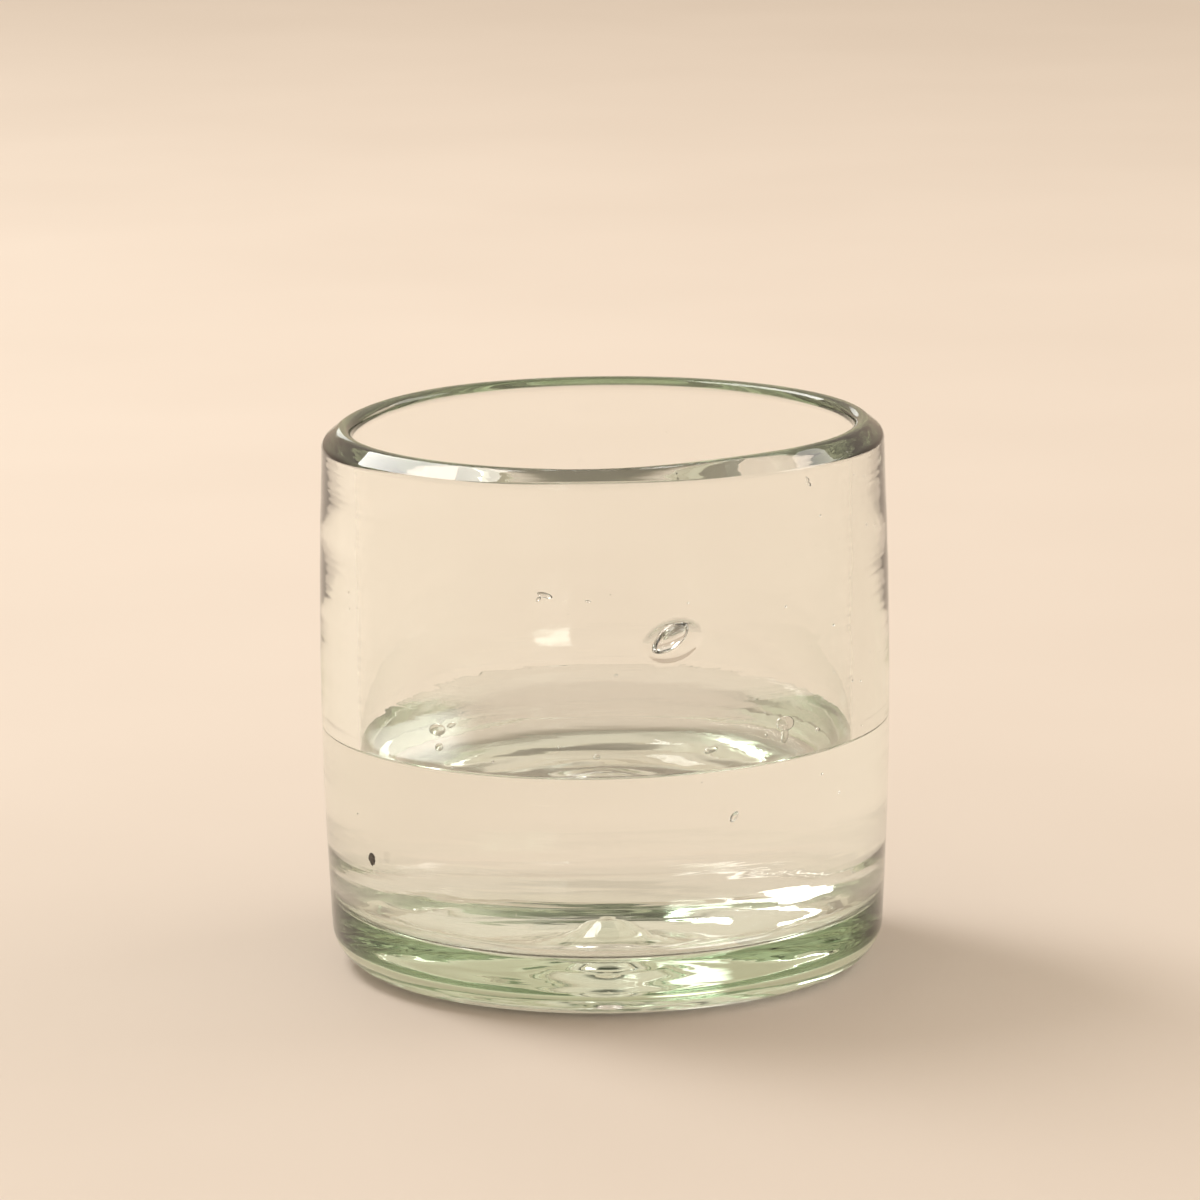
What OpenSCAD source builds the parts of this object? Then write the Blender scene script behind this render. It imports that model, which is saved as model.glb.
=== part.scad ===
// Free-blown drinking tumbler of thick, pale green glass, part filled with water.
// Millimetres, +Z up. The origin is the middle of the foot, on the surface it stands on.

/* [Tumbler wall] */
// Height from the table to the top of the lip
glass_h = 86; // [76:1:120]
// Outer diameter just under the lip
rim_d = 88; // [86:0.5:94]
// Outer diameter at the widest place of the barrelled wall
belly_d = 89.6; // [89:0.2:96]
// Height of the widest place
belly_z = 46; // [36:1:54]
// Outer diameter where the wall runs into the rounded heel
heel_d = 87.2; // [85:0.2:89]
// Diameter of the bore at the mouth
mouth_d = 78.4; // [74:0.2:79]
// Diameter of the bore where it runs into the floor's corner
bore_d = 77.2; // [72:0.2:78]

/* [Lip] */
// Radius of the lip's round on the side of the bore, up to its highest place
lip_in = 1.5; // [0.8:0.1:2.5]
// Radius of the lip's round on the outer side
lip_out = 1.3; // [0.8:0.1:2.2]
// Slope in degrees of the shoulder that falls outwards between the two rounds
shoulder = 32; // [10:1:45]

/* [Foot and floor] */
// Radius of the rounded heel between wall and foot
heel_round = 6.4; // [3:0.2:9]
// Inner diameter of the flat ring that the glass stands on
ring_d = 63; // [56:1:68]
// Radius of the corner between bore and floor
corner_round = 3; // [2:0.5:6]
// Height of the floor at its corner
floor_z = 9.8; // [8:0.1:12]
// Height of the floor in the low trough round the punt
trough_z = 4.8; // [4:0.1:6.8]
// Diameter at which the foot of the punt has faded into the floor
trough_d = 32; // [24:1:40]
// Height of the floor at the peak of the punt
punt_z = 9.4; // [7.2:0.1:12]
// Diameter of the bell-shaped punt at half its height
punt_d = 10.8; // [6:0.2:14]

/* [Underside] */
// Height of the underside above the table, beside the pushed-up middle
hollow_z = 1; // [0.4:0.1:2]
// Height of the underside in the pushed-up middle
push_z = 3.8; // [2:0.1:4.6]
// Diameter of the pushed-up middle of the underside
push_d = 22; // [18:1:30]
// Diameter of the ring of glass left where the pontil iron was broken off
pontil_d = 9; // [6:0.5:14]
// Height of that ring
pontil_h = 0.7; // [0.3:0.1:1]

/* [Trapped bubbles] */
// Length of the large bubble in the front of the wall
bubble_l = 6.2; // [3:0.1:8]
// Thickness of the large bubble
bubble_t = 3; // [1.5:0.1:3.4]
// Length of the middle-sized seed bubbles
seed_l = 2.2; // [0.8:0.1:3]
// Thickness of the middle-sized seed bubbles
seed_t = 0.9; // [0.5:0.1:1.6]
// Length of the bubble in the heel, below the front of the wall
heel_bubble_l = 4.2; // [2:0.1:5]
// Thickness of the bubble in the heel
heel_bubble_t = 0.9; // [0.5:0.1:1.2]

/* [Water] */
// Height of the still surface in the middle
water_z = 36.4; // [26:0.2:70]
// How far the water's edge climbs the wall
climb_h = 1.5; // [0.5:0.1:2.5]
// Distance from the wall over which that edge dies away
climb_w = 2.6; // [1:0.1:4]

/* [Hidden] */
$fn = 96;

// Points along each stretch of the outlines
wall_steps = 12;
round_steps = 9;
floor_steps = 12;
climb_steps = 8;

rim_r = rim_d / 2;
belly_r = belly_d / 2;
heel_r = heel_d / 2;
mouth_r = mouth_d / 2;
bore_r = bore_d / 2;
ring_r = ring_d / 2;
trough_r = trough_d / 2;
punt_r = punt_d / 2;
push_r = push_d / 2;
pontil_r = pontil_d / 2;

// Middle of the lip's inner round
brink_r = mouth_r + lip_in;
mouth_z = glass_h - lip_in;

// Length of the straight shoulder, and the middle of the lip's outer round below its end
lip_step = lip_in - lip_out;
lip_run = (rim_r - lip_out - brink_r - lip_step * sin(shoulder)) / cos(shoulder);
shoulder_z = mouth_z + lip_step * cos(shoulder) - lip_run * sin(shoulder);

// Where the bore and the floor run into the corner between them
corner_z = floor_z + corner_round;
corner_r = bore_r - corner_round;

// Half the width of the pontil ring at its root
pontil_w = 1.2;

// Distance of the heel's bubble in from the wall, and its height above the table
heel_inset = 4;
heel_lift = 2.3;

// A smooth step from 0 to 1 with level ends, for t from 0 to 1
function ease(t) = (1 - cos(180 * t)) / 2;

// Outer radius at height z: a barrel, widest at belly_z
function outer_r(z) =
    z > belly_z
        ? belly_r - (belly_r - rim_r) * pow((z - belly_z) / (shoulder_z - belly_z), 2)
        : belly_r - (belly_r - heel_r) * pow((belly_z - z) / (belly_z - heel_round), 2);

// Radius of the bore at height z: a slight taper that opens upwards
function inner_r(z) = bore_r + (mouth_r - bore_r) * (z - corner_z) / (mouth_z - corner_z);

// Share of the punt's height left at radius r: a bell that is faded out at the trough's edge
function punt_at(r) = r < trough_r ? (1 - ease(r / trough_r)) / (1 + pow(r / punt_r, 2)) : 0;

// Share of the rise from the trough to the corner at radius r
function rise_at(r) = r > trough_r / 2 ? ease((r - trough_r / 2) / (corner_r - trough_r / 2)) : 0;

// Height of the inner floor at radius r
function floor_at(r) = trough_z + (punt_z - trough_z) * punt_at(r) + (floor_z - trough_z) * rise_at(r);

// Height of the ring left by the pontil iron at radius r
function pontil_at(r) =
    abs(r - pontil_r) < pontil_w ? pontil_h * ease(1 - abs(r - pontil_r) / pontil_w) : 0;

// Height of the underside at radius r
function under_at(r) =
    (r < push_r
        ? push_z - (push_z - hollow_z) * ease(r / push_r)
        : hollow_z * (1 - ease((r - push_r) / (ring_r - push_r)))) - pontil_at(r);

// Points of an arc about [x, z] with radius r, from angle a0 to angle a1
function arc(x, z, r, a0, a1, steps) =
    [for (i = [0:steps]) let (t = a0 + (a1 - a0) * i / steps) [x + r * cos(t), z + r * sin(t)]];

// Evenly spread values from a to b, without the two ends
function between(a, b, steps) = [for (i = [1:steps - 1]) a + (b - a) * i / steps];

// The underside from the axis out to the ring that the glass stands on
under_line = concat(
    [[0, under_at(0)]],
    [for (r = between(0, pontil_r - pontil_w, 3)) [r, under_at(r)]],
    [for (r = between(pontil_r - pontil_w, pontil_r + pontil_w, 8)) [r, under_at(r)]],
    [for (r = between(pontil_r + pontil_w, push_r, 6)) [r, under_at(r)]],
    [[push_r, under_at(push_r)]],
    [for (r = between(push_r, ring_r, floor_steps)) [r, under_at(r)]],
    [[ring_r, 0]]
);

// The inner floor from the axis out to the foot of the corner
floor_line = concat(
    [[0, punt_z]],
    [for (r = between(0, trough_r, floor_steps)) [r, floor_at(r)]],
    [[trough_r, floor_at(trough_r)]],
    [for (r = between(trough_r, corner_r, floor_steps)) [r, floor_at(r)]]
);

// The rounded corner between floor and bore
corner_line = arc(corner_r, corner_z, corner_round, -90, 0, round_steps);

// The lip from the outside in: the outer round, the straight shoulder between, the inner round
lip_line = concat(
    arc(rim_r - lip_out, shoulder_z, lip_out, 0, 90 - shoulder, round_steps),
    arc(brink_r, mouth_z, lip_in, 90 - shoulder, 180, 2 * round_steps)
);

// The whole section of the glass, from the axis underneath, up the outside, and down the bore
glass_section = concat(
    under_line,
    arc(heel_r - heel_round, heel_round, heel_round, -90, 0, round_steps),
    [for (z = between(heel_round, shoulder_z, wall_steps)) [outer_r(z), z]],
    lip_line,
    [for (i = [len(corner_line) - 1:-1:0]) corner_line[i]],
    [for (i = [len(floor_line) - 1:-1:0]) floor_line[i]]
);

// How far the water stands above its middle at distance d from the wall
climb_reach = 4 * climb_w;
function climb_at(d) = climb_h * exp(-d / climb_w) * (1 - ease(d / climb_reach));

// The water's edge, from the wall in to where the surface is level
edge_r = inner_r(water_z + climb_h);
edge_line = [
    for (i = [0:climb_steps])
        let (d = climb_reach * pow(i / climb_steps, 1.5))
            [edge_r - d, water_z + climb_at(d)]
];

water_section = concat(floor_line, corner_line, edge_line, [[0, water_z]]);

// An air bubble, long along X, centred on the origin
module bubble(l, t) {
    side = [for (a = [-75:15:75]) [t / 2 * cos(a), l / 2 * sin(a)]];
    rotate([0, 90, 0])
        rotate_extrude($fn = 24)
            polygon(concat([[0, -l / 2]], side, [[0, l / 2]]));
}

// Puts a bubble in the middle of the wall at height z, turned round the axis from the front by turn
// degrees, with its length leaning up the wall by lean degrees
module in_wall(z, turn, lean) {
    rotate([0, 0, turn - 90])
        translate([(outer_r(z) + inner_r(z)) / 2, 0, z])
            rotate([lean, 0, 0])
                rotate([0, 0, 90])
                    children();
}

// Puts a bubble in the heel below the front of the wall, with its length along the heel
module in_heel() {
    translate([0, heel_inset - heel_r, heel_lift])
        children();
}

module tumbler_glass() {
    color([0.74, 0.86, 0.78, 0.5])
        difference() {
            rotate_extrude()
                polygon(glass_section);
            in_wall(59.3, 13.3, 34)
                bubble(bubble_l, bubble_t);
            in_wall(66.1, -12.1, -14)
                bubble(seed_l, seed_t);
            in_wall(30.8, 27, 52)
                bubble(seed_l, seed_t);
            in_wall(71, 120, 18)
                bubble(seed_l, seed_t);
            in_wall(27, 118, 24)
                bubble(seed_l, seed_t);
            in_wall(24, 214, -12)
                bubble(seed_l, seed_t);
            in_heel()
                bubble(heel_bubble_l, heel_bubble_t);
        }
}

module water() {
    color([0.84, 0.91, 0.92, 0.6])
        rotate_extrude()
            polygon(water_section);
}

tumbler_glass();
water();
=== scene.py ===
# %% [markdown]
# A free-blown tumbler, part filled with water
#
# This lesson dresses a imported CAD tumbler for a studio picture. Clear things are hard to draw
# because they have no colour of their own: the picture is made by bent light, by the way walls
# fold the room at their edges, and by the little faults that a blower leaves behind. So most
# of the work is shape. Every surface is worked out with numpy, and the renderer does the rest.

# %% Load the frame
import math

import bpy
import numpy as np
from mathutils import Matrix, Quaternion, Vector


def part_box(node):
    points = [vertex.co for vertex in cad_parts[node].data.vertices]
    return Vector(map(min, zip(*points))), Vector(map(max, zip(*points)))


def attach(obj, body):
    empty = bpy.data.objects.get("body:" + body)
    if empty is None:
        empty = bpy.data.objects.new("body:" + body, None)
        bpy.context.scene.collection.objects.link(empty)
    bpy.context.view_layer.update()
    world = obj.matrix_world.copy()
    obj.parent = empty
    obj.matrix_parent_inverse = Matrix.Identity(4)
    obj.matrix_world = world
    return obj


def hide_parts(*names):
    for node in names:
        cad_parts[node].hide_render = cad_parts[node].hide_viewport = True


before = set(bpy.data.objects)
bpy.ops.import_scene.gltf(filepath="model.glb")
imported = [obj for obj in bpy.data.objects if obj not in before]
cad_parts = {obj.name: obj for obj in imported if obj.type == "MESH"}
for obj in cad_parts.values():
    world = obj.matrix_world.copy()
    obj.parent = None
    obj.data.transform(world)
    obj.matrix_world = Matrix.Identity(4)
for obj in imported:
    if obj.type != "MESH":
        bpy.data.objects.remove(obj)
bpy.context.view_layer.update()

MM = 0.001
FRONT = -math.pi / 2
glass_low, glass_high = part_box("tumbler_glass")
water_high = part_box("water")[1]
print("glass box in mm", [round(v / MM, 1) for v in (*glass_low, *glass_high)])

# %% [markdown]
# The sizes of the section
#
# A tumbler is a body of revolution with faults, so its whole form is one section and a few
# small waves. The height, the belly and the water's edge are read from the CAD boxes. The rest,
# but for the broad and the round lip, are the named sizes that the CAD holds, written here in
# metres, because the dressed glass must fill the same space as the solid that it stands for.

# %% Sizes of the section
# The wall, and the lip as a slope with the radii of its inner and outer round
glass_h = glass_high.z
belly_r = (glass_high.x - glass_low.x) / 2
rim_r = belly_r - 0.8 * MM
heel_r = belly_r - 1.2 * MM
belly_z = 46 * MM
mouth_r = 39.2 * MM
bore_r = 38.6 * MM
lip_in = 1.5 * MM
lip_out = 1.3 * MM
narrow_lip = (math.radians(32), lip_in, lip_out)
broad_lip = (math.radians(48), lip_in, lip_out)
round_lip = (math.radians(38), 1.6 * MM, 2.2 * MM)

# The foot, and the floor inside with its corner, its trough and its punt
heel_round = 6.4 * MM
ring_r = 31.5 * MM
corner_round = 3 * MM
floor_z = 9.8 * MM
corner_z = floor_z + corner_round
trough_z = 4.8 * MM
trough_r = 16 * MM
punt_z = 9.4 * MM
punt_r = 5.4 * MM

# The hollow underside, its pushed-up middle, and the ring that the pontil left
hollow_z = 1.0 * MM
push_z = 3.8 * MM
push_r = 11 * MM
pontil_r = 4.5 * MM
pontil_h = 0.7 * MM
pontil_w = 1.2 * MM

# The water, and its edge that climbs the wall
climb_h = 1.5 * MM
climb_w = 2.6 * MM
water_edge_z = water_high.z
water_z = water_edge_z - climb_h
print(f"the water stands {water_z / MM:.1f} mm high, and its edge {water_edge_z / MM:.1f} mm")

# %% [markdown]
# The lip
#
# A cut rim is melted smooth in the fire. It ends as a narrow rounded edge inside, a shoulder that
# slopes outwards, and a rounder edge outside. Two circles and the line that touches both give
# that. A plain half-round lip would mirror the room in a hair-thin line, and the sloping
# shoulder is what catches a window as one broad white patch. The fire didn't leave the same lip
# all round, so the circles are worked out for a narrow, a broad and a rounder one.


# %% The two circles of the lip
def lip_circles(slope, inner, outer):
    """Middles of the lip's inner and outer circle. The outer one is reached from the inner by the
    difference of their radii, square to the shoulder, and then by the shoulder's length along it."""
    square = np.array([math.sin(slope), math.cos(slope)])
    along = np.array([math.cos(slope), -math.sin(slope)])
    inside = np.array([mouth_r + inner, glass_h - inner])
    run = (rim_r - outer - inside[0] - (inner - outer) * square[0]) / along[0]
    return inside, inside + (inner - outer) * square + run * along


mouth_z = glass_h - lip_in
shoulder_z = lip_circles(*narrow_lip)[1][1]
broad_z = lip_circles(*broad_lip)[1][1]
print(f"the shoulder ends at {shoulder_z / MM:.1f} mm, and where it is broad at {broad_z / MM:.1f} mm")

# %% [markdown]
# The section as functions
#
# The section could be drawn by hand as a list of points, but then every change would mean new
# points. Here each stretch is a formula: a parabola for the barrelled wall, a straight taper for
# the bore, half-cosine steps for the floor and its trough, a bell for the punt, and arcs between.
# The punt is the middle of the base, pushed up so that the tumbler can't rock on it. The pontil is
# the iron that held the piece by its base, and it leaves a ring where it is broken off.


# %% Formulas of the section
def ease(t):
    """A step from 0 to 1 with level ends: half of one minus the cosine of half a turn times t."""
    return (1 - np.cos(np.pi * np.clip(t, 0, 1))) / 2


def outer_r(z, top=shoulder_z):
    """Outer radius at height z: a parabola on each side of the belly, level where they meet, and
    at the rim's radius where the lip's shoulder starts at the top."""
    above = (belly_r - rim_r) * ((z - belly_z) / (top - belly_z)) ** 2
    below = (belly_r - heel_r) * ((belly_z - z) / (belly_z - heel_round)) ** 2
    return belly_r - np.where(z > belly_z, above, below)


def inner_r(z):
    """Radius of the bore at height z: a straight taper that opens towards the mouth."""
    return bore_r + (mouth_r - bore_r) * (z - corner_z) / (mouth_z - corner_z)


def floor_at(r):
    """Height of the inner floor: a bell over the axis, 1 / (1 + (r / punt_r)^2), faded out by the
    trough's edge, and from half the trough's radius a rise to the corner."""
    corner_start = bore_r - corner_round
    bell = (1 - ease(r / trough_r)) / (1 + (r / punt_r) ** 2)
    rise = ease((r - trough_r / 2) / (corner_start - trough_r / 2))
    return trough_z + (punt_z - trough_z) * bell + (floor_z - trough_z) * rise


def under_at(r):
    """Height of the underside: the pushed-up middle, the hollow round it, less the pontil's ring."""
    push = push_z - (push_z - hollow_z) * ease(r / push_r)
    hollow = hollow_z * (1 - ease((r - push_r) / (ring_r - push_r)))
    pontil = pontil_h * ease(1 - np.abs(r - pontil_r) / pontil_w)
    return np.where(r < push_r, push, hollow) - pontil


def arc(middle, radius, start, end, steps):
    """Points of a circle's arc: the middle plus the radius times the cosine and sine of the angle."""
    t = np.linspace(start, end, steps + 1)
    return np.asarray(middle) + radius * np.stack([np.cos(t), np.sin(t)], axis=1)


def stacked(r, z):
    """Radii and heights side by side, as the points of a section."""
    return np.stack([r + 0 * z, z + 0 * r], axis=1)


def crowded(start, end, steps, spot, reach, gain):
    """Steps from start to end that crowd round a spot. Their density is 1 plus gain times
    exp(-((p - spot) / reach)^2), and equal shares of its running sum are read back as places."""
    p = np.linspace(start, end, 4001)
    total = np.cumsum(1 + gain * np.exp(-((p - spot) / reach) ** 2))
    share = (total - total[0]) / (total[-1] - total[0])
    return np.interp(np.linspace(0, 1, steps + 1), share, p)


print(f"the wall is {(outer_r(belly_z) - inner_r(belly_z)) / MM:.1f} mm thick at the belly")

# %% [markdown]
# The closed section of the glass
#
# The section runs from the axis underneath, out over the foot, up the wall, round the lip, down
# the bore and in over the floor. The large bubble in the wall swells its surface into a small
# blister, so rows and turns crowd together round it, and the rest of the mesh stays light. Rows
# crowd at the water's edge too. Three lips are drawn with as many points each, so that what
# sets the broad and the round one off from the narrow one can be added in shares later.

# %% Section of the glass
wall_rows, bore_rows, wet_rows, floor_rows, under_rows, arc_rows = 84, 30, 36, 44, 40, 14
edge_crowding = 1.8
bubble_crowding = 4
bubble_z = 59.3 * MM
bubble_turn = FRONT + math.radians(13.3)


def wall_and_lip(slope, inner, outer):
    """Points from the heel up the wall and over the lip, for one slope and two radii of the lip."""
    inside, outside = lip_circles(slope, inner, outer)
    heights = crowded(heel_round, outside[1], wall_rows, bubble_z, 4 * MM, bubble_crowding)[1:-1]
    edge = arc(outside, outer, 0, np.pi / 2 - slope, arc_rows)
    brink = arc(inside, inner, np.pi / 2 - slope, np.pi, arc_rows)
    between = np.linspace(edge[-1], brink[0], 6)[1:-1]
    return np.concatenate([stacked(outer_r(heights, outside[1]), heights), edge, between, brink])


narrow_line, broad_line, round_line = [wall_and_lip(*lip) for lip in (narrow_lip, broad_lip, round_lip)]
under_radii = np.linspace(0, ring_r, under_rows + 1)
under_line = stacked(under_radii, under_at(under_radii))
heel_line = arc((heel_r - heel_round, heel_round), heel_round, -np.pi / 2, 0, arc_rows)
dry_heights = np.linspace(mouth_z, water_edge_z, bore_rows + 1)[1:-1]
wet_share = np.linspace(0, 1, wet_rows + 1)[:-1] ** edge_crowding
wet_heights = water_edge_z - (water_edge_z - corner_z) * wet_share
dry_line = stacked(inner_r(dry_heights), dry_heights)
wet_line = stacked(inner_r(wet_heights), wet_heights)
corner_line = arc((bore_r - corner_round, corner_z), corner_round, 0, -np.pi / 2, arc_rows)
floor_radii = np.linspace(bore_r - corner_round, 0, floor_rows + 1)[1:]
floor_line = stacked(floor_radii, floor_at(floor_radii))

shell_lines = [under_line, heel_line, narrow_line, dry_line]
cup_lines = [wet_line, corner_line, floor_line]
glass_section = np.concatenate(shell_lines + cup_lines)
first_wet_row = sum(len(line) for line in shell_lines)
broadening, rounding = np.zeros((2, *glass_section.shape))
first_wall_row = len(under_line) + len(heel_line)
broadening[first_wall_row:first_wall_row + len(broad_line)] = broad_line - narrow_line
rounding[first_wall_row:first_wall_row + len(round_line)] = round_line - narrow_line
print("rows in the glass section", len(glass_section))

# %% [markdown]
# Draw lines and swells
#
# While the gather is blown and turned, tools and cooling leave faint rings that run almost level
# round the wall. The long ones could be painted as bump, but real ones bend the view through the
# wall, so here they are in the shape: a sum of seeded waves that change fast up the wall and
# slowly round it. A wave's height follows from a wanted slope, because slope is what bends light.


# %% A field of waves
def drawn_waves(seed, angle, height, shortest, longest, slope, count=26):
    """Sum of seeded waves, each cos(m angle + a) times cos(2 pi height / pitch + b), where m is
    0 to 3 swells round the glass. A wave's size is slope times pitch over 2 pi, so that every
    pitch bends light alike, and over the square root of a quarter of their count, so that the
    sum has that slope on average. It is one matrix product of the two families of cosines."""
    rng = np.random.default_rng(seed)
    swells = rng.integers(0, 4, count)
    pitch = shortest * (longest / shortest) ** rng.random(count)
    a, b = rng.random((2, count)) * 2 * np.pi
    size = slope * pitch / (2 * np.pi * np.sqrt(count / 4))
    up = size * np.cos(2 * np.pi * height[:, None] / pitch + b)
    return up @ np.cos(swells[:, None] * angle + a[:, None])


base_slope = 0.05
base_longest = 24 * MM
wave_height = base_slope * base_longest / (2 * math.pi)
print(f"slope {base_slope} at a pitch of {base_longest / MM:.0f} mm is {wave_height / MM:.2f} mm high")

# %% [markdown]
# Waves in the wall and the base
#
# The waves of the wall fade out at the lip, which the fire made smooth, and at the heel, which was
# rolled on a steel table. The base has higher waves of its own, which run out from the punt and
# fade at the ring of the foot. They break up what the base mirrors, as in any piece made by hand.
# On the outside the highest point of the waves is taken off everywhere, so that the dressed glass
# stays inside the solid that it stands for.

# %% Fields of waves over the glass
turns = 250
bubble_reach = 5 * MM / belly_r
angle = crowded(FRONT - np.pi, FRONT + np.pi, turns, bubble_turn, bubble_reach, bubble_crowding)[:-1]
section_r, section_z = glass_section.T
outside = section_r > (outer_r(section_z) + inner_r(section_z)) / 2

heel_fade = 8 * MM
lip_fade = 6 * MM
on_wall = ease((section_z - heel_round) / heel_fade) * ease((shoulder_z - section_z) / lip_fade)
wave_outer = drawn_waves(11, angle, section_z, shortest=6 * MM, longest=20 * MM, slope=0.010)
wave_inner = drawn_waves(23, angle, section_z, shortest=6 * MM, longest=24 * MM, slope=0.012)
push = on_wall[:, None] * np.where(outside[:, None], wave_outer - wave_outer.max(), wave_inner)

base_start = 4 * MM
base_rise = 11 * MM
ring_fade = 8 * MM
on_base = ease((section_r - base_start) / base_rise) * ease((ring_r - section_r) / ring_fade)
on_base *= section_z < corner_z

# Height counts threefold, so that the floor's waves don't keep step with those underneath
across_base = section_r + 3 * section_z
wave_base = drawn_waves(37, angle, across_base, shortest=7 * MM, longest=base_longest, slope=base_slope)
wave_base[:len(under_line)] -= wave_base.max()
push += on_base[:, None] * wave_base
print(f"waves reach {push.min() / MM:.2f} to {push.max() / MM:.2f} mm")

# %% [markdown]
# Blisters
#
# The thin skin of glass over the large bubble stayed soft longest, and the air under it swelled
# it out. Its edge is crisp, like a drop's. A bump map would shade it, but only a real swelling
# bends the view through the wall into the thin ring that goes round the bubble. A seed on the
# left has raised a much fainter one.


# %% Blisters on the wall
def blister(z, turn, lean, length, width, height):
    """A drop-shaped swelling: height times one minus rho squared to the power 0.6, which makes its
    edge steep, and nothing past rho of 1. rho is the distance from the middle, along and across
    the lean, in lengths and widths."""
    aside = belly_r * (np.mod(angle - turn + np.pi, 2 * np.pi) - np.pi)[None, :]
    above = (section_z - z)[:, None]
    along = aside * math.cos(lean) + above * math.sin(lean)
    across = above * math.cos(lean) - aside * math.sin(lean)
    edge_power = 0.6
    return height * np.clip(1 - (along / length) ** 2 - (across / width) ** 2, 0, 1) ** edge_power


swelling = blister(bubble_z, bubble_turn, math.radians(16), 4.7 * MM, 3.1 * MM, 0.85 * MM)
faint_swelling = blister(66.1 * MM, FRONT + math.radians(-12.1), 0, 2.4 * MM, 1.6 * MM, 0.12 * MM)
push += np.where(outside[:, None], swelling + faint_swelling, 0)
print(f"the large blister stands out {swelling.max() / MM:.2f} mm")

# %% [markdown]
# The lip round the mouth
#
# The fire left the lip rounder at the back and in the middle of the front, and broadest right
# of the front. One section all round would mirror the room as one even band. Here each turn of
# the mouth takes its own shares of the broad and the round lip, and the shares change smoothly.

# %% Shares of the three lips
# Places and reaches round the mouth are in degrees from the front
back_start, back_rise = 75, 35
round_middle, round_reach = -3, 17
broad_middle, broad_reach = 42, 24
from_front = np.degrees(angle - FRONT)
at_back = ease((np.abs(from_front) - back_start) / back_rise)
rounder = at_back + np.exp(-((from_front - round_middle) / round_reach) ** 2)
worn = (0.5 + 0.45 * np.exp(-((from_front - broad_middle) / broad_reach) ** 2)) * (1 - rounder)
section_round = glass_section[:, None] + worn[:, None] * broadening[:, None]
section_round += rounder[:, None] * rounding[:, None]
print(f"the broad lip's share goes up to {worn.max():.2f}")

# %% [markdown]
# Turned rows
#
# The section becomes a body when it is turned round the axis. A Screw modifier could do that, but
# then every turn would be alike. Here each point of each turn has a push of its own along its
# normal, and rows and turns are one grid of points, worked out at once.


# %% Rows turned round the axis
def normals_of(section):
    """Unit normals of a section, to the right of its run: the slope (dr, dz) turned to (dz, -dr)."""
    step = np.gradient(section, axis=0)
    normal = np.stack([step[..., 1], -step[..., 0]], axis=-1)
    return normal / np.linalg.norm(normal, axis=-1, keepdims=True)


def turned(section, push, angle):
    """Rows of a section, one column for each angle, turned round Z: each point goes out along its
    normal by push, then to (r cos angle, r sin angle, z)."""
    r, z = np.moveaxis(section + push[..., None] * normals_of(section), -1, 0)
    return np.stack([r * np.cos(angle), r * np.sin(angle), z], axis=2)


print("the underside's normal points down:", normals_of(glass_section)[0].round(2))

# %% [markdown]
# Out of true
#
# The floor inside was never level: the punt's tool pressed it while the piece leaned, so the
# front lies about two millimetres lower than the back. Sliding the rows of the cup along the
# wall by a share of Y tilts the floor and leaves the wall as it is. The lip was sheared by hand
# too, and its front left is the lowest.

# %% Tilt of the inner floor, and the uneven lip
floor_lean = 0.025
lip_drop = 0.85 * MM
tilt_fade = 10 * MM
drop_fade = 14 * MM
low_start, low_end = -150, 40
tilt_share = 1 - ease((section_z - corner_z) / tilt_fade)
tilt_share[:first_wet_row] = 0
drop_share = ease((section_z - shoulder_z) / drop_fade + 1)
low_side = ease((from_front - low_start) / 60) * ease((low_end - from_front) / 50)


def settled(points):
    """Rows of the glass with the cup's floor leaned, where z grows by the lean times y, and with
    the lip lowered on its low side."""
    moved = points.copy()
    moved[..., 2] += floor_lean * points[..., 1] * tilt_share[:, None]
    moved[..., 2] -= lip_drop * drop_share[:, None] * low_side
    return moved


glass_points = settled(turned(section_round, push, angle))
print(f"the floor leans {math.degrees(math.atan(floor_lean)):.1f} degrees")

# %% [markdown]
# Closed skins
#
# A grid of points becomes a mesh with quads between its rows and a fan at each pole. Clear things
# need a closed mesh more than others do, because light that meets a gap or a face turned round
# bends the wrong way. Several skins can share one mesh, and so bubbles can belong to the glass.


# %% Skins and pieces
def skin(points, hollow=False):
    """Corners and faces of a closed skin over rows of points. The first and last rows shrink to
    their mean, as poles. Rows are joined by quads, and each pole by a fan. hollow turns it inside out."""
    rows, turns = points.shape[:2]
    rings = rows - 2
    here = 1 + np.arange(rings * turns).reshape(rings, turns)
    beside = np.roll(here, -1, axis=1)
    quads = np.stack([here[:-1], beside[:-1], beside[1:], here[1:]], axis=2).reshape(-1, 4)
    first = np.stack([np.zeros(turns, int), beside[0], here[0]], axis=1)
    last = np.stack([np.full(turns, rings * turns + 1), here[-1], beside[-1]], axis=1)
    poles = points[[0, -1]].mean(axis=1)
    corners = np.concatenate([poles[:1], points[1:-1].reshape(-1, 3), poles[1:]])
    faces = [quads, first, last]
    if hollow:
        faces = [f[:, ::-1] for f in faces]
    return corners, faces


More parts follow.
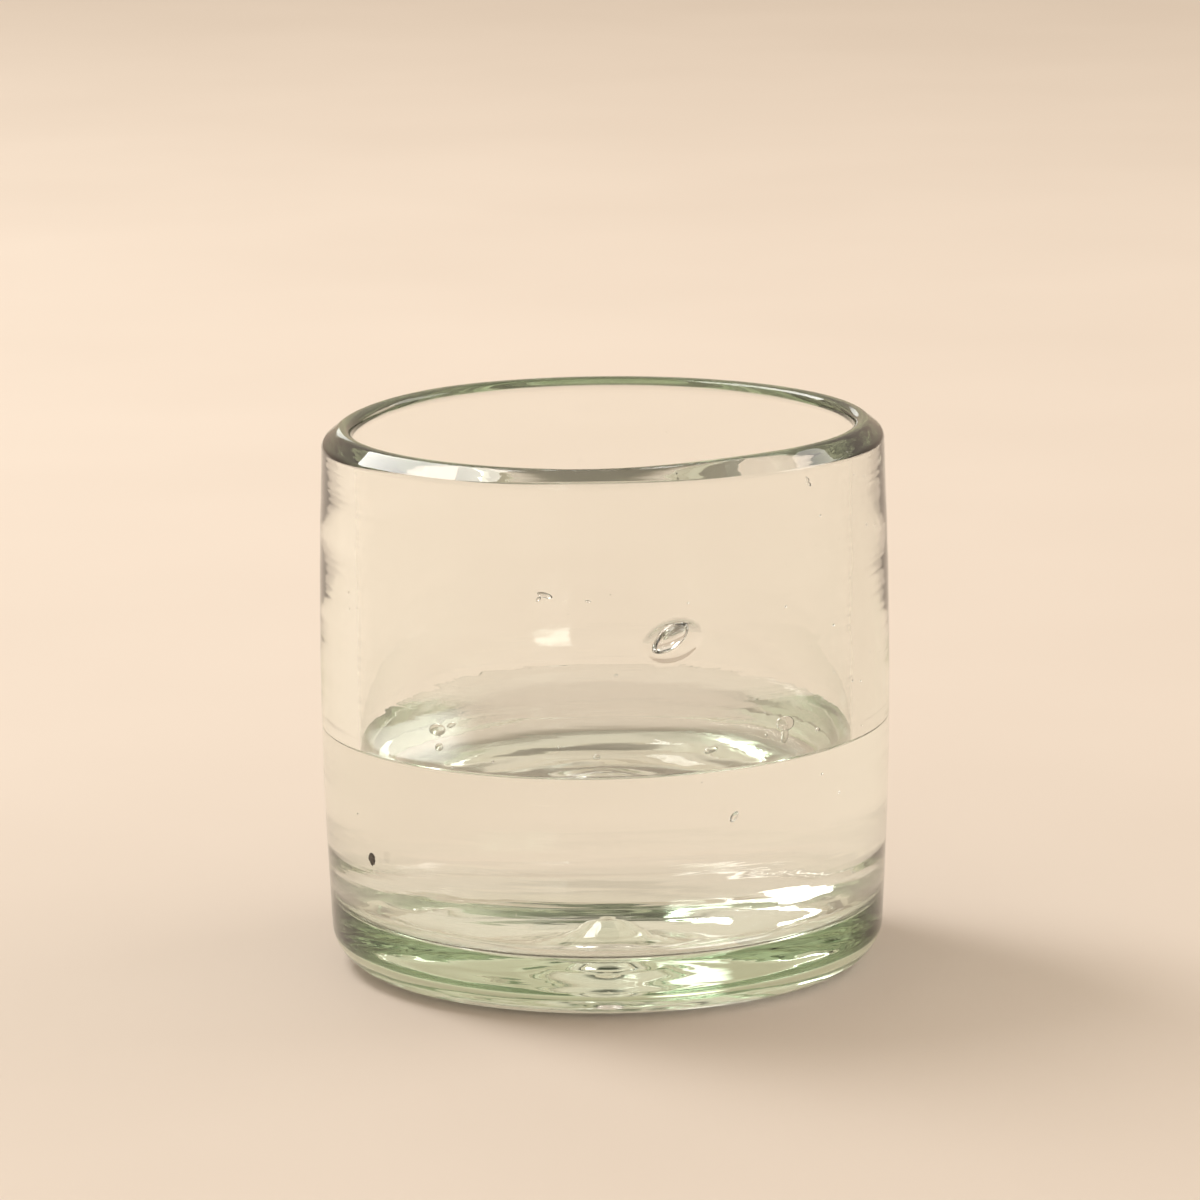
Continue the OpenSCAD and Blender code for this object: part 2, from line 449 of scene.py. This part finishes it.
def make_piece(name, skins, material, node=None):
    """One object from several closed skins. Loop counts and starts go in with foreach_set."""
    corners = np.concatenate([s[0] for s in skins])
    offsets = np.cumsum([0] + [len(s[0]) for s in skins[:-1]])
    faces = [f + offset for s, offset in zip(skins, offsets) for f in s[1]]
    sizes = np.concatenate([np.full(len(f), f.shape[1]) for f in faces])
    loops = np.concatenate([f.ravel() for f in faces])
    mesh = bpy.data.meshes.new(name)
    mesh.vertices.add(len(corners))
    mesh.vertices.foreach_set("co", corners.ravel().astype(np.float32))
    mesh.loops.add(len(loops))
    mesh.loops.foreach_set("vertex_index", loops.astype(np.int32))
    mesh.polygons.add(len(sizes))
    mesh.polygons.foreach_set("loop_start", (np.cumsum(sizes) - sizes).astype(np.int32))
    mesh.update(calc_edges=True)
    mesh.validate()
    mesh.shade_smooth()
    mesh.materials.append(material)
    piece = bpy.data.objects.new(name, mesh)
    bpy.context.scene.collection.objects.link(piece)
    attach(piece, "root")
    if node:
        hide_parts(node)
    print(f"{name}: {len(corners)} corners, {int((sizes - 2).sum())} triangles")
    return piece


# %% [markdown]
# Bubbles
#
# Seeds are air that the gather caught. A bubble has no stuff of its own, so it isn't an object:
# it is a second, inside-out skin in the same mesh, and light leaves the glass at it. Turning
# stretches bubbles, so each has its long axis leaning along the wall, and the large one is
# drawn to a point at both ends.


# %% Bubble skins
def pod(middle, turn, lean, size, point=1.0, back=None, rows=16, around=20, hollow=True):
    """A stretched ball as rows from pole to pole. size is its length along the wall, its width
    and its thickness. Its width follows the cosine of latitude to the power point, so that more
    than 1 draws it to a tip. back, where given, flattens its outer half to that depth."""
    length, width, thick = size
    latitude = np.linspace(-np.pi / 2, np.pi / 2, rows + 1)[:, None]
    longitude = np.linspace(0, 2 * np.pi, around, endpoint=False)
    girth = np.clip(np.cos(latitude), 0, 1) ** point
    along = length / 2 * np.sin(latitude) + 0 * longitude
    across = width / 2 * girth * np.sin(longitude)
    through = thick / 2 * girth * np.cos(longitude)
    if back is not None:
        through = np.minimum(through, back)
    aside = along * math.cos(lean) - across * math.sin(lean)
    out = np.array([math.cos(turn), math.sin(turn), 0])
    side = np.array([-math.sin(turn), math.cos(turn), 0])
    points = np.asarray(middle) + through[..., None] * out + aside[..., None] * side
    points[..., 2] += along * math.sin(lean) + across * math.cos(lean)
    return skin(points, hollow=hollow)


def in_wall(z, turn, depth=0.5):
    """A place in the wall at height z: depth runs from 0, outside, to 1, in the bore."""
    radius = float(outer_r(z) * (1 - depth) + inner_r(z) * depth)
    return radius * math.cos(turn), radius * math.sin(turn), z


# Each seed is its height, its turn from the front, its lean, and its three sizes
seeds = [
    (66.1, -12.1, -14, (2.3, 0.8, 0.8)),
    (65.5, -13.4, 40, (0.9, 0.5, 0.5)),
    (65.3, -3.3, -10, (0.8, 0.35, 0.4)),
    (30.8, 27.0, 52, (1.9, 1.0, 1.0)),
    (38.5, -33.0, 20, (0.5, 0.4, 0.4)),
    (71.0, 120.0, 18, (2.2, 0.8, 0.8)),
    (24.0, 214.0, -12, (2.0, 0.9, 0.9)),
    (27.0, 118.0, 24, (1.4, 0.8, 0.8)),
]
bubbles = [pod(
    in_wall(bubble_z, bubble_turn, 0.42), bubble_turn, math.radians(34),
    (6.2 * MM, 2.9 * MM, 2.6 * MM), point=1.25, rows=40, around=48,
)]
for height, swing, lean, size in seeds:
    turn = FRONT + math.radians(swing)
    size = np.array(size) * MM
    bubbles.append(pod(in_wall(height * MM, turn), turn, math.radians(lean), size))
print("the large bubble and the seeds", len(bubbles))

# %% [markdown]
# Specks of air
#
# Beside the seeds hang dozens of specks of air too small to have a shape. They come from a
# seeded draw, crowd towards the right-hand side as in the photograph, and have few faces. One
# more bubble lies flat in the heel, below the middle of the front.

# %% Fine seeds and the bubble in the heel
rng = np.random.default_rng(5)
fine_count = 90
crowd_count = fine_count // 3
crowd_middle, crowd_spread = 55, 12
fine_turn = FRONT + np.radians(np.concatenate([
    rng.normal(crowd_middle, crowd_spread, crowd_count), rng.uniform(-180, 180, fine_count - crowd_count)
]))
fine_z = rng.uniform(14, 80, fine_count) * MM
fine_size = 0.12 * MM + 0.3 * MM * rng.random(fine_count) ** 3
fine_depth = rng.uniform(0.1, 0.9, fine_count)
for z, turn, size, depth in zip(fine_z, fine_turn, fine_size, fine_depth):
    bubbles.append(pod(in_wall(z, turn, depth), turn, 0.3, (1.4 * size, size, size), rows=6, around=8))

heel_bubble = (0.2 * MM, -39.6 * MM, 2.3 * MM)
bubbles.append(pod(heel_bubble, FRONT, 0, (4.2 * MM, 0.9 * MM, 1.6 * MM), rows=24, around=24))
print("bubbles, seeds and specks", len(bubbles))

# %% [markdown]
# Streaks as a shared group
#
# Under the waves that are big enough to model lie finer ones, two millimetres apart and less.
# They would take millions of faces, so they are bump. The same streaks make the glass and the
# water's skin a little uneven in gloss, so they are one node group with its own scale for each
# finish. The group puts out only a height and a mask. The shader itself stays in each material,
# where an exporter can read it.


# %% Group: fine level streaks
def streak_group():
    """Noise squeezed along Z, so that it draws out into level streaks round the wall."""
    group = bpy.data.node_groups.new("level_streaks", "ShaderNodeTree")
    group.interface.new_socket("Round", in_out="INPUT", socket_type="NodeSocketFloat")
    group.interface.new_socket("Up", in_out="INPUT", socket_type="NodeSocketFloat")
    group.interface.new_socket("Height", in_out="OUTPUT", socket_type="NodeSocketFloat")
    group.interface.new_socket("Mask", in_out="OUTPUT", socket_type="NodeSocketFloat")
    nodes, links = group.nodes, group.links
    inside = nodes.new("NodeGroupInput")
    outside = nodes.new("NodeGroupOutput")
    place = nodes.new("ShaderNodeTexCoord")
    scale = nodes.new("ShaderNodeCombineXYZ")
    stretch = nodes.new("ShaderNodeVectorMath")
    stretch.operation = "MULTIPLY"
    links.new(inside.outputs["Round"], scale.inputs["X"])
    links.new(inside.outputs["Round"], scale.inputs["Y"])
    links.new(inside.outputs["Up"], scale.inputs["Z"])
    links.new(place.outputs["Object"], stretch.inputs[0])
    links.new(scale.outputs["Vector"], stretch.inputs[1])
    noise = nodes.new("ShaderNodeTexNoise")
    noise.inputs["Scale"].default_value = 1
    noise.inputs["Detail"].default_value = 3
    noise.inputs["Roughness"].default_value = 0.45
    links.new(stretch.outputs["Vector"], noise.inputs["Vector"])
    mask = nodes.new("ShaderNodeMapRange")
    mask.inputs["From Min"].default_value = 0.45
    mask.inputs["From Max"].default_value = 0.75
    links.new(noise.outputs["Fac"], mask.inputs["Value"])
    links.new(noise.outputs["Fac"], outside.inputs["Height"])
    links.new(mask.outputs["Result"], outside.inputs["Mask"])
    return group


streaks = streak_group()
print("the streak group puts out", [s.name for s in streaks.interface.items_tree if s.in_out == "OUTPUT"])

# %% [markdown]
# Green glass
#
# Bottle glass is clear in a thin wall and green in the foot, because iron in it takes away red
# and blue over distance. A tinted surface would be as green in the wall as in the foot, so the
# surface here is white and the colour is a volume: light fades along its path inside. The
# surface's roughness is near zero, with a little more where the streaks lie. Water is the same
# kind of stuff with a lower index, so one function makes both.


# %% Clear materials, and the glass
def plain_material(name):
    """A material with an emptied tree, and its output node."""
    material = bpy.data.materials.new(name)
    material.use_nodes = True
    material.node_tree.nodes.clear()
    return material, material.node_tree.nodes.new("ShaderNodeOutputMaterial")


def clear_material(name, ior, round_scale, up_scale, bump, gloss, absorb, density):
    """A clear dielectric: Principled with full transmission, streaked bump and roughness, and
    plain absorption in its volume. gloss is the least and the most roughness."""
    material, output = plain_material(name)
    nodes, links = material.node_tree.nodes, material.node_tree.links
    shader = nodes.new("ShaderNodeBsdfPrincipled")
    shader.inputs["Base Color"].default_value = (1, 1, 1, 1)
    shader.inputs["Metallic"].default_value = 0
    shader.inputs["Transmission Weight"].default_value = 1
    shader.inputs["IOR"].default_value = ior
    fine = nodes.new("ShaderNodeGroup")
    fine.node_tree = streaks
    fine.inputs["Round"].default_value = round_scale
    fine.inputs["Up"].default_value = up_scale
    relief = nodes.new("ShaderNodeBump")
    relief.inputs["Strength"].default_value = 1
    relief.inputs["Distance"].default_value = bump
    rough = nodes.new("ShaderNodeMapRange")
    rough.inputs["To Min"].default_value, rough.inputs["To Max"].default_value = gloss
    links.new(fine.outputs["Height"], relief.inputs["Height"])
    links.new(relief.outputs["Normal"], shader.inputs["Normal"])
    links.new(fine.outputs["Mask"], rough.inputs["Value"])
    links.new(rough.outputs["Result"], shader.inputs["Roughness"])
    links.new(shader.outputs["BSDF"], output.inputs["Surface"])
    depth = nodes.new("ShaderNodeVolumeAbsorption")
    depth.inputs["Color"].default_value = (*absorb, 1)
    depth.inputs["Density"].default_value = density
    links.new(depth.outputs["Volume"], output.inputs["Volume"])
    return material


glass_index = 1.52
green_glass = clear_material(
    "green_glass", ior=glass_index, round_scale=14, up_scale=420, bump=0.03 * MM, gloss=(0.0, 0.02),
    absorb=(0.45, 0.69, 0.36), density=8.5,
)
print("index of", green_glass.name, glass_index)

# %% [markdown]
# The glass itself
#
# One mesh holds the outer skin and the skins of all the bubbles. The bubbles could be objects of
# their own, but a hole in the glass isn't a piece, and light needs to know that it leaves the
# glass there instead of entering something else.

# %% The glass itself
make_piece("blown_tumbler", [skin(glass_points)] + bubbles, green_glass, "tumbler_glass")

# %% [markdown]
# A dark stone
#
# A crumb of the furnace's brick or of unmelted sand sometimes stays in the glass. Blowers call
# it a stone. It is opaque, so it is a small body of its own inside the wall. A sculpted mesh could
# be lumpier still, but at two millimetres a ball swollen by a few cosines is enough.


# %% The stone
def stone_material():
    """Burnt brown, mottled by noise a quarter of a millimetre across, with a dull broken surface."""
    material, output = plain_material("burnt_stone")
    nodes, links = material.node_tree.nodes, material.node_tree.links
    shader = nodes.new("ShaderNodeBsdfPrincipled")
    shader.inputs["IOR"].default_value = 1.5
    place = nodes.new("ShaderNodeTexCoord")
    noise = nodes.new("ShaderNodeTexNoise")
    noise.inputs["Scale"].default_value = 4000
    noise.inputs["Detail"].default_value = 4
    ramp = nodes.new("ShaderNodeValToRGB")
    ramp.color_ramp.elements[0].position = 0.35
    ramp.color_ramp.elements[0].color = (0.03, 0.022, 0.016, 1)
    ramp.color_ramp.elements[1].position = 0.7
    ramp.color_ramp.elements[1].color = (0.16, 0.12, 0.08, 1)
    rough = nodes.new("ShaderNodeMapRange")
    rough.inputs["To Min"].default_value = 0.45
    rough.inputs["To Max"].default_value = 0.9
    relief = nodes.new("ShaderNodeBump")
    relief.inputs["Distance"].default_value = 0.02 * MM
    links.new(place.outputs["Object"], noise.inputs["Vector"])
    links.new(noise.outputs["Fac"], ramp.inputs["Fac"])
    links.new(noise.outputs["Fac"], rough.inputs["Value"])
    links.new(noise.outputs["Fac"], relief.inputs["Height"])
    links.new(ramp.outputs["Color"], shader.inputs["Base Color"])
    links.new(rough.outputs["Result"], shader.inputs["Roughness"])
    links.new(relief.outputs["Normal"], shader.inputs["Normal"])
    links.new(shader.outputs["BSDF"], output.inputs["Surface"])
    return material


def lumpy(middle, size, seed, rows=18, around=24):
    """A ball whose radius is one plus a few seeded cosines of latitude and longitude, scaled to
    size and tapered towards its lower end."""
    rng = np.random.default_rng(seed)
    latitude = np.linspace(-np.pi / 2, np.pi / 2, rows + 1)[:, None]
    longitude = np.linspace(0, 2 * np.pi, around, endpoint=False)
    phase = rng.random((5, 2)) * 2 * np.pi
    swell = 1 + 0 * latitude + 0 * longitude
    for m, (a, b) in enumerate(phase, start=1):
        swell = swell + 0.09 * np.cos(m * longitude + a) * np.cos((m + 1) * latitude + b)
    taper = 0.82 + 0.18 * np.sin(latitude)
    x = swell * taper * np.cos(latitude) * np.cos(longitude)
    y = swell * taper * np.cos(latitude) * np.sin(longitude)
    z = swell * np.sin(latitude)
    points = np.stack([x, y, z], axis=2) * np.asarray(size) / 2 + np.asarray(middle)
    return skin(points)


stone_turn = FRONT + math.radians(-57.6)
stone_size = (1.7 * MM, 1.7 * MM, 1.9 * MM)
stone = lumpy(in_wall(21.2 * MM, stone_turn, 0.5), stone_size, seed=3)
make_piece("furnace_stone", [stone], stone_material())

# %% [markdown]
# The water
#
# Still water is flat but for its edge, which climbs the wall. That edge is the bright and dark
# double line across the glass. The climb dies away with distance as an exponential. The water's
# wall and bed are the glass's own rows, pushed a few hundredths of a millimetre into the glass. A
# gap of air there would turn silver, because light would be thrown back at it, and an overlap
# bends light as glass against water does. The tumbler stands a hair out of true, so the water
# meets its wall a little higher on the right.

# %% Water skin
seat = 0.04 * MM
level_rows = 70
water_lean = 0.0132
unleaned_z = 16 * MM
bed = settled(turned(section_round, push - seat, angle))[first_wet_row:][::-1]
edge_r = np.hypot(bed[-1, :, 0], bed[-1, :, 1])
level_r = edge_r * (1 - (1 - np.linspace(1, 0, level_rows + 1)[1:, None]) ** edge_crowding)
level_z = water_z + climb_h * np.exp((level_r - edge_r) / climb_w)
level = np.stack([level_r * np.cos(angle), level_r * np.sin(angle), level_z], axis=2)
water_points = np.concatenate([bed, level])
level_share = ease((water_points[..., 2] - unleaned_z) / (water_z - unleaned_z))
water_points[..., 2] += water_lean * water_points[..., 0] * level_share
print(f"the water's edge reaches {water_points[..., 2].max() / MM:.1f} mm")

# %% [markdown]
# Splashed drops
#
# Drops cling to the wall above the water. Each is a dome of water with its flat back pushed a
# little into the glass, so they belong to the water's mesh. A bump map could draw their shading,
# but a drop is a small lens, so it has to be a shape. One has run down and has a tail.

# %% Drops on the wall
# Each drop is its height, its turn from the front, its lean, and its three sizes
drops = [
    (43.6, -38.6, 8, (2.9, 1.9, 1.1)),
    (40.9, -38.2, 30, (1.5, 1.2, 0.7)),
    (44.6, -34.9, 25, (1.6, 0.7, 0.5)),
    (41.0, -1.9, 20, (1.2, 0.8, 0.6)),
    (42.4, -10.0, -10, (0.6, 0.4, 0.3)),
    (41.2, 23.0, 12, (2.2, 1.0, 0.9)),
    (43.7, 41.7, -8, (3.3, 2.3, 1.2)),
    (42.1, 41.6, 82, (2.8, 1.2, 0.8)),
    (48.3, 33.9, 0, (0.6, 0.5, 0.4)),
    (41.7, 51.5, 0, (0.7, 0.6, 0.5)),
    (42.4, 36.5, 0, (0.5, 0.4, 0.3)),
]
drop_skins = []
for height, swing, lean, size in drops:
    turn = FRONT + math.radians(swing)
    middle = in_wall(height * MM, turn, 1)
    size = np.array(size) * MM
    drop_skins.append(pod(middle, turn, math.radians(lean), size, back=2 * seat, hollow=False))
clear_water = clear_material(
    "clear_water", ior=1.333, round_scale=30, up_scale=30, bump=0.01 * MM, gloss=(0.0, 0.01),
    absorb=(0.86, 0.9, 0.84), density=0.5,
)
make_piece("still_water", [skin(water_points)] + drop_skins, clear_water, "water")

# %% [markdown]
# The floor
#
# The tumbler stands on a plain pale floor, wide enough that its edge never shows. A backdrop that
# curves up could do the same, but the camera looks down, so a plane is enough. It lies a tenth of
# a millimetre under the foot: in the same plane, foot and floor would show through each other.


# %% Floor
def floor_material():
    """Warm pale floor with a very faint mottle, so that it isn't a flat colour."""
    material, output = plain_material("pale_floor")
    nodes, links = material.node_tree.nodes, material.node_tree.links
    shader = nodes.new("ShaderNodeBsdfPrincipled")
    shader.inputs["Roughness"].default_value = 0.7
    place = nodes.new("ShaderNodeTexCoord")
    noise = nodes.new("ShaderNodeTexNoise")
    noise.inputs["Scale"].default_value = 9
    tint = nodes.new("ShaderNodeMix")
    tint.data_type = "RGBA"
    tint.inputs["A"].default_value = (0.78, 0.69, 0.61, 1)
    tint.inputs["B"].default_value = (0.72, 0.63, 0.55, 1)
    links.new(place.outputs["Object"], noise.inputs["Vector"])
    links.new(noise.outputs["Fac"], tint.inputs["Factor"])
    links.new(tint.outputs["Result"], shader.inputs["Base Color"])
    links.new(shader.outputs["BSDF"], output.inputs["Surface"])
    return material


floor_half = 4.0
floor_drop = -0.1 * MM
floor_signs = [(-1, -1), (1, -1), (1, 1), (-1, 1)]
floor_corners = [(x * floor_half, y * floor_half, floor_drop) for x, y in floor_signs]
floor_mesh = bpy.data.meshes.new("floor")
floor_mesh.from_pydata(floor_corners, [], [(0, 1, 2, 3)])
floor_mesh.materials.append(floor_material())
floor = bpy.data.objects.new("floor", floor_mesh)
bpy.context.scene.collection.objects.link(floor)
print(f"the floor is {2 * floor_half:.0f} m wide")

# %% [markdown]
# Camera
#
# The view was worked out from the outline of the tumbler in the photograph: a long lens about a
# metre away, looking down a little more steeply than 11 degrees, with a slight roll. The eye's
# place is given by its distance and elevation from a point 40 mm up the axis. A Track To
# constraint could aim it there, but the tumbler stands below the photograph's middle and the
# horizon isn't quite level, so the camera's three directions are worked out.

# %% Camera at the photograph's angle
eye_distance = 1.05
eye_elevation = math.radians(12.1)
look_down = math.radians(11.186)
look_aside = math.radians(-0.038)
roll = math.radians(-0.592)
lens_mm = 199.851
sensor_mm = 36
aim = Vector((0, 0, 40 * MM))

eye = aim + eye_distance * Vector((0, -math.cos(eye_elevation), math.sin(eye_elevation)))
forward = Vector((
    math.sin(look_aside) * math.cos(look_down),
    math.cos(look_aside) * math.cos(look_down),
    -math.sin(look_down),
))
level_right = forward.cross(Vector((0, 0, 1))).normalized()
level_up = level_right.cross(forward)
right = math.cos(roll) * level_right + math.sin(roll) * level_up
up = math.cos(roll) * level_up - math.sin(roll) * level_right

camera_data = bpy.data.cameras.new("camera")
camera_data.sensor_width = sensor_mm
camera_data.lens = lens_mm
camera_data.clip_start = 0.01
camera_data.clip_end = 50
camera = bpy.data.objects.new("camera", camera_data)
camera.matrix_world = Matrix.Translation(eye) @ Matrix((right, up, -forward)).transposed().to_4x4()
bpy.context.scene.collection.objects.link(camera)
bpy.context.scene.camera = camera
print(f"lens {camera_data.lens:.1f} mm from {eye_distance} m")

# %% [markdown]
# The lamps
#
# Glass shows what stands round it, so the lamps are part of the finish. A tall window behind on
# the left draws the white patch along the lip, and a weaker one stands on the right. They are
# area lamps, because a mirrored rectangle has a window's clean edges, and a point or a sun hasn't.


# %% Lamps
def direction(turn, elevation):
    """Unit vector from the tumbler out into the room: sine and minus cosine of turn, times the
    cosine of elevation, and the sine of elevation. turn goes round from the camera's side,
    positive to the right, and elevation up from the floor, both in degrees."""
    turn, elevation = math.radians(turn), math.radians(elevation)
    return Vector((
        math.sin(turn) * math.cos(elevation), -math.cos(turn) * math.cos(elevation), math.sin(elevation)
    ))


def soft_lamp(name, turn, elevation, distance, size, brightness, colour, spin=0):
    """A rectangular area lamp that faces the tumbler from a direction in the room. spin turns it
    about its own middle, in degrees. Its power is brightness times its area times pi."""
    towards = direction(turn, elevation)
    data = bpy.data.lights.new(name, "AREA")
    data.shape = "RECTANGLE"
    data.size, data.size_y = size
    data.energy = brightness * math.pi * size[0] * size[1]
    data.color = colour
    lamp = bpy.data.objects.new(name, data)
    lamp.location = aim + distance * towards
    facing = towards.to_track_quat("Z", "Y") @ Quaternion((0, 0, 1), math.radians(spin))
    lamp.rotation_euler = facing.to_euler()
    bpy.context.scene.collection.objects.link(lamp)
    return lamp


window_distance = 1.6
windows = [
    soft_lamp(
        "left_window", -129, 50, window_distance, size=(0.52, 1.25), brightness=7.5,
        colour=(1, 0.98, 0.95), spin=-22,
    ),
    soft_lamp(
        "right_window", 109, 36, window_distance, size=(0.85, 0.45), brightness=3,
        colour=(1, 0.96, 0.93),
    ),
]
print("lamps in watts", {lamp.name: round(lamp.data.energy, 1) for lamp in windows})

# %% [markdown]
# The room
#
# In an even white room clear glass would hardly show. The dark lines of the lip and the base are
# a dark ceiling, mirrored, and the rest of the room is warm and pale. A dark patch high behind
# gives the foot its deep green band, and a small bright one low behind lights the base. A
# photographed room would do this too, but a ramp and two spots are easier to steer.

# %% World
# Each spot is its turn, its elevation, its outer and inner reach in degrees, and its colour
room_spots = [
    (176, 68, 24, 14, (0.05, 0.06, 0.04)),
    (-168, 12, 7, 4, (2.4, 2.3, 2.1)),
]


def room_world():
    """The room: a ramp on the height of the direction, warm low down, pale halfway up and dark
    overhead, then soft round spots. A spot is a smooth step on the dot product of the direction
    with the spot's own, between the cosines of its outer and inner reach."""
    world = bpy.data.worlds.new("room")
    world.use_nodes = True
    nodes, links = world.node_tree.nodes, world.node_tree.links
    nodes.clear()
    output = nodes.new("ShaderNodeOutputWorld")
    background = nodes.new("ShaderNodeBackground")
    place = nodes.new("ShaderNodeTexCoord")
    split = nodes.new("ShaderNodeSeparateXYZ")
    ramp = nodes.new("ShaderNodeValToRGB")
    stops = [
        (0.00, (0.66, 0.51, 0.39)), (0.20, (0.76, 0.61, 0.47)), (0.45, (0.98, 0.83, 0.67)),
        (0.82, (0.94, 0.82, 0.68)), (0.94, (0.34, 0.33, 0.25)), (1.00, (0.22, 0.23, 0.17)),
    ]
    while len(ramp.color_ramp.elements) < len(stops):
        ramp.color_ramp.elements.new(0.5)
    for element, (position, colour) in zip(ramp.color_ramp.elements, stops):
        element.position = position
        element.color = (*colour, 1)
    links.new(place.outputs["Generated"], split.inputs["Vector"])
    links.new(split.outputs["Z"], ramp.inputs["Fac"])
    colour = ramp.outputs["Color"]
    for turn, elevation, reach, inner, spot_colour in room_spots:
        towards = nodes.new("ShaderNodeVectorMath")
        towards.operation = "DOT_PRODUCT"
        towards.inputs[1].default_value = direction(turn, elevation)
        step = nodes.new("ShaderNodeMapRange")
        step.interpolation_type = "SMOOTHSTEP"
        step.inputs["From Min"].default_value = math.cos(math.radians(reach))
        step.inputs["From Max"].default_value = math.cos(math.radians(inner))
        blend = nodes.new("ShaderNodeMix")
        blend.data_type = "RGBA"
        blend.clamp_result = False
        blend.inputs["B"].default_value = (*spot_colour, 1)
        links.new(place.outputs["Generated"], towards.inputs[0])
        links.new(towards.outputs["Value"], step.inputs["Value"])
        links.new(step.outputs["Result"], blend.inputs["Factor"])
        links.new(colour, blend.inputs["A"])
        colour = blend.outputs["Result"]
    links.new(colour, background.inputs["Color"])
    background.inputs["Strength"].default_value = 0.92
    links.new(background.outputs["Background"], output.inputs["Surface"])
    bpy.context.scene.world = world


room_world()
print("spots in the room", len(room_spots))

# %% [markdown]
# Bounces
#
# Light crosses two walls, the water and the base, and is thrown back and forth in the foot. With
# the usual few bounces such paths would end as black specks, so glass gets many.

# %% View and bounces
scene = bpy.context.scene
scene.view_settings.view_transform = "Standard"
scene.cycles.max_bounces = 32
scene.cycles.transmission_bounces = 32
scene.cycles.glossy_bounces = 12
print("most bounces", scene.cycles.max_bounces)
